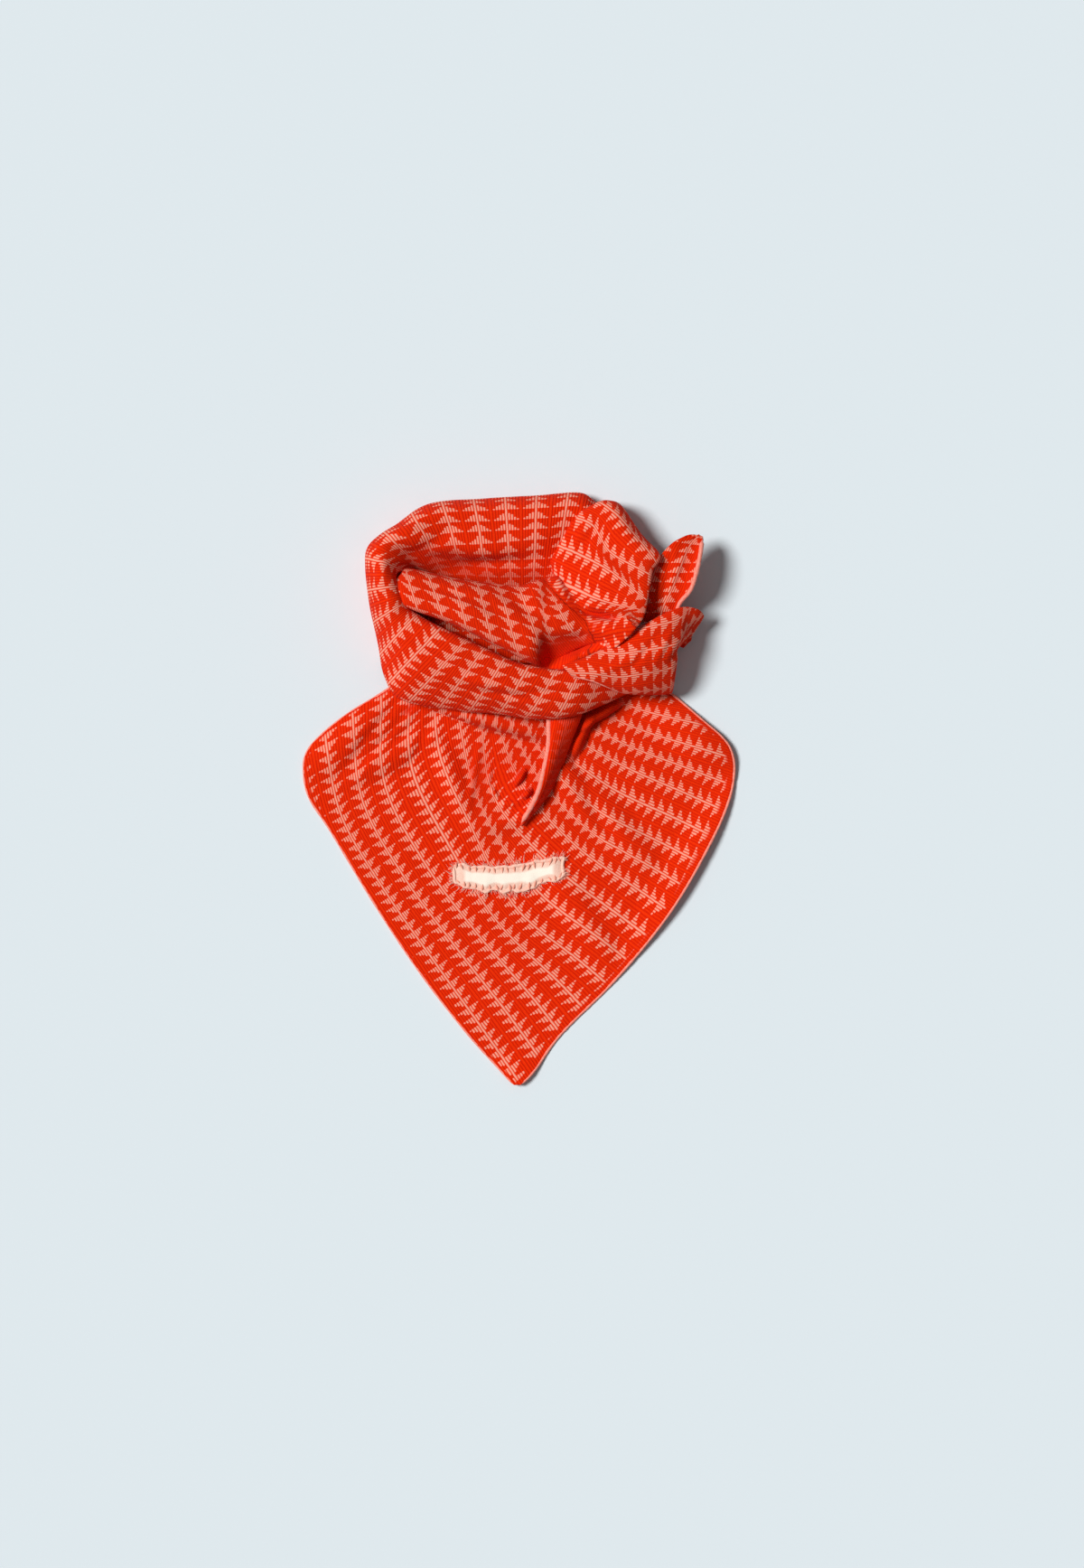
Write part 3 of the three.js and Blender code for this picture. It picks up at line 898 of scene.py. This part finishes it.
# Frayed rim round the label, with the fuzz that its stitches pull out of the cloth
def label_fray(points, random):
    rim_places = 190
    hairs = 520
    stray = 0.8
    fray = new_sheet()
    ring = np.concatenate([points[:, 0], points[-1], points[::-1, -1], points[0, ::-1]])
    for first, rise, radius, seed in RIM_ROLLS:
        add_roll(fray, smooth_line(ring[first::6] + (0, 0, rise), rim_places), radius, seed=seed)
    middle = points.mean(axis=(0, 1))
    for number in range(hairs):
        start = ring[random.integers(len(ring))] + random.uniform(-stray, stray, 3)
        away = (start - middle) * (0.25, 1, 0)
        away = away / np.linalg.norm(away) + random.uniform(-stray, stray, 3)
        length = random.uniform(1.5, 4.6)
        bend = random.uniform(-1.4, 1.4, 3) * (1, 1, 0.5)
        hair = np.array([start, start + away * length * 0.5 + bend, start + away * length])
        hair[:, 2] = start[2] + (0.3, random.uniform(0.4, 1.6), random.uniform(-0.2, 1.2))
        radius = random.uniform(0.12, 0.26)
        add_roll(fray, smooth_line(hair, 6), radius, sides=4, seed=number)
    return finished("label_fray", fray, TUFT)


# Whip stitches over both long edges of the label
def label_stitches(points, random):
    stitches_a_side = 17
    end_gap = 0.02
    uneven = 0.008
    slant = 4
    rows, columns = points.shape[0] - 1, points.shape[1] - 1
    bite = round(columns * 0.24)
    stitches = new_sheet()
    for edge_column, inner_column in ((0, bite), (columns, columns - bite)):
        for share in np.linspace(end_gap, 1 - end_gap, stitches_a_side):
            i = round(np.clip(share + random.uniform(-uneven, uneven), 0, 1) * rows)
            k = min(max(i + random.integers(-slant, slant + 1), 0), rows)
            start = points[i, inner_column] + (0, 0, 0.5)
            edge = points[k, edge_column]
            out = edge - points[k, inner_column]
            end = edge + out / np.linalg.norm(out) * random.uniform(0.8, 1.8)
            end[2] = edge[2] + random.uniform(-0.2, 0.6)
            arch = np.array([start, (start + edge) / 2 + (0, 0, 1.0), edge + (0, 0, 1.7), end])
            radius = random.uniform(0.45, 0.8)
            add_roll(stitches, smooth_line(arch, 9), radius, sides=8, seed=share * 9 + i)
    return finished("label_stitches", stitches, THREAD)


# Puckers along the label's long edges. Columns: size, length in mm, start
PUCKERS = [[0.5, 4.3, 0], [0.35, 7.1, 1]]


# The label's tape: puckered between its stitches, with round corners and pinker edges
def add_label():
    rows, columns = 150, 24
    grain = 8.0
    lift, curl, end_shift = 0.9, 1.8, 0.6
    pucker_rise, pucker_reach = 0.4, 0.8
    uneven_rise, uneven_side, uneven_end, uneven_rim = 0.6, 2.6, 3.0, 2.4
    corner = 2.6
    height_share, width_share = 1.3, 0.6
    rim_width, rim_fade = 3.6, 1.4
    points = label_points(rows, columns)
    along, across = cloth_lengths(points)
    down = np.linspace(0, 1, rows + 1)[:, None]
    share = np.linspace(0, 1, columns + 1)[None, :]
    rim = np.abs(2 * share - 1) ** 3
    end = np.abs(2 * down - 1) ** 12
    outward = np.sign(0.5 - share)
    waves = sum(
        size * np.sin(along * 2 * math.pi / length + start)
        for size, length, start in PUCKERS
    )
    pucker = rim * waves[:, None]
    soft = np.array([noise.noise(Vector(place) / grain) for place in points.reshape(-1, 3)])
    soft = soft.reshape(pucker.shape)
    points[..., 1] += (0.5 - share) * FRAYED_HEIGHT + FRAYED_HEIGHT / 2
    points[..., 2] += pucker_rise * pucker + uneven_rise * soft + lift - curl * np.maximum(rim, end)
    points[..., 1] += (pucker_reach * pucker + uneven_side * soft * rim) * outward + end_shift * end
    points[..., 0] += uneven_end * soft * end
    points[..., 1] -= corner * rim * end * outward
    knit = np.dstack([np.broadcast_to(along[:, None], across.shape), across])
    inner = np.minimum(share, 1 - share) * LABEL["height"] * height_share + uneven_rim * soft
    inner = np.minimum(inner, np.minimum(down, 1 - down) * LABEL["width"] * width_share)
    clean = np.clip((inner - rim_width) / rim_fade, 0, 1)
    piece = cloth_sheet("label_tape", points, knit, clean, LABEL["wall"] * 0.7, TAPE)
    declare(piece, "label")
    random = np.random.default_rng(7)
    for trim in (label_fray(points, random), label_stitches(points, random)):
        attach(trim, "root")


# Rolls of pink yarn along the sewn edges. Columns: line of places, radius in mm, rise in mm
def add_selvedges(bib, hanging, tail, side):
    sheet = new_sheet()
    place_every = 1.3
    clearance = 0.05
    seed_step = 3.7
    free_rows = len(side) * 24 // 100
    free_column = side.shape[1] * 70 // 100
    edges = [
        (bib[:, 0], 0.85, 0.1),
        (bib[:, -1], 0.95, 0.2),
        (hanging[:, 1], 1.8, 1.0),
        (tail[:-8, -2], 1.5, 0.4),
        (side[:free_rows, free_column], 0.9, 0.5),
    ]
    for number, (line, radius, rise) in enumerate(edges):
        length = np.linalg.norm(np.diff(line, axis=0), axis=1).sum()
        smooth = smooth_line(line[::4], max(round(length / place_every), 12)) + (0, 0, rise)
        smooth[:, 2] = np.maximum(smooth[:, 2], radius + clearance)
        add_roll(sheet, smooth, radius, seed=number * seed_step)
    piece = finished("selvedges", sheet, YARN)
    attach(piece, "root")


# The hidden layers keep their solid, with the same wool
def dress_hidden_layers():
    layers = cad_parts["under_layers"]
    layers.data.materials.clear()
    layers.data.materials.append(WOOL)
    knit = layers.data.uv_layers.new(name="knit")
    for loop in layers.data.loops:
        place = layers.data.vertices[loop.vertex_index].co / MM
        knit.data[loop.index].uv = (place.x, place.y + place.z)
    pattern = layers.data.attributes.new("pattern", "FLOAT", "POINT")
    for value in pattern.data:
        value.value = 1.0


bib = add_bib()
add_label()
add_selvedges(bib, hanging, tail, side)
dress_hidden_layers()


# Surface, light and camera

def add_floor():
    half_width = 3
    ground = bmesh.new()
    bmesh.ops.create_grid(ground, x_segments=1, y_segments=1, size=half_width)
    mesh = bpy.data.meshes.new("surface")
    ground.to_mesh(mesh)
    ground.free()
    floor = bpy.data.objects.new("surface", mesh)
    bpy.context.scene.collection.objects.link(floor)
    mesh.materials.append(floor_material())


# Soft sun that shines from a place towards the scarf
def add_sun(name, place, width, strength, colour):
    light = bpy.data.lights.new(name, "SUN")
    light.angle = math.radians(width)
    light.energy = strength
    light.color = colour
    lamp = bpy.data.objects.new(name, light)
    lamp.location = place
    lamp.rotation_euler = (-Vector(place)).to_track_quat("-Z", "Y").to_euler()
    bpy.context.scene.collection.objects.link(lamp)


# Camera straight above, far enough for the flat look of a long lens. The frame's height is in mm
def add_camera():
    height = 4.0
    frame_height = 1110
    centre = (0.0163, 0.0035)
    camera = bpy.data.cameras.new("camera")
    camera.sensor_fit = "VERTICAL"
    camera.sensor_height = 36
    camera.lens = camera.sensor_height * height / (frame_height * MM)
    camera.clip_end = 20
    view = bpy.data.objects.new("camera", camera)
    view.location = (*centre, height)
    bpy.context.scene.collection.objects.link(view)
    bpy.context.scene.camera = view


# Weak even light from all round
def add_fill(colour, strength):
    world = bpy.context.scene.world or bpy.data.worlds.new("world")
    bpy.context.scene.world = world
    world.use_nodes = True
    background = world.node_tree.nodes["Background"]
    background.inputs["Color"].default_value = colour
    background.inputs["Strength"].default_value = strength


add_floor()
add_camera()
add_sun("key", place=(-1.0, 0.26, 1.62), width=18, strength=3.3, colour=(1.0, 0.99, 0.97))
add_fill(colour=(1.0, 0.98, 0.97, 1), strength=0.165)
bpy.context.scene.view_settings.view_transform = "Standard"
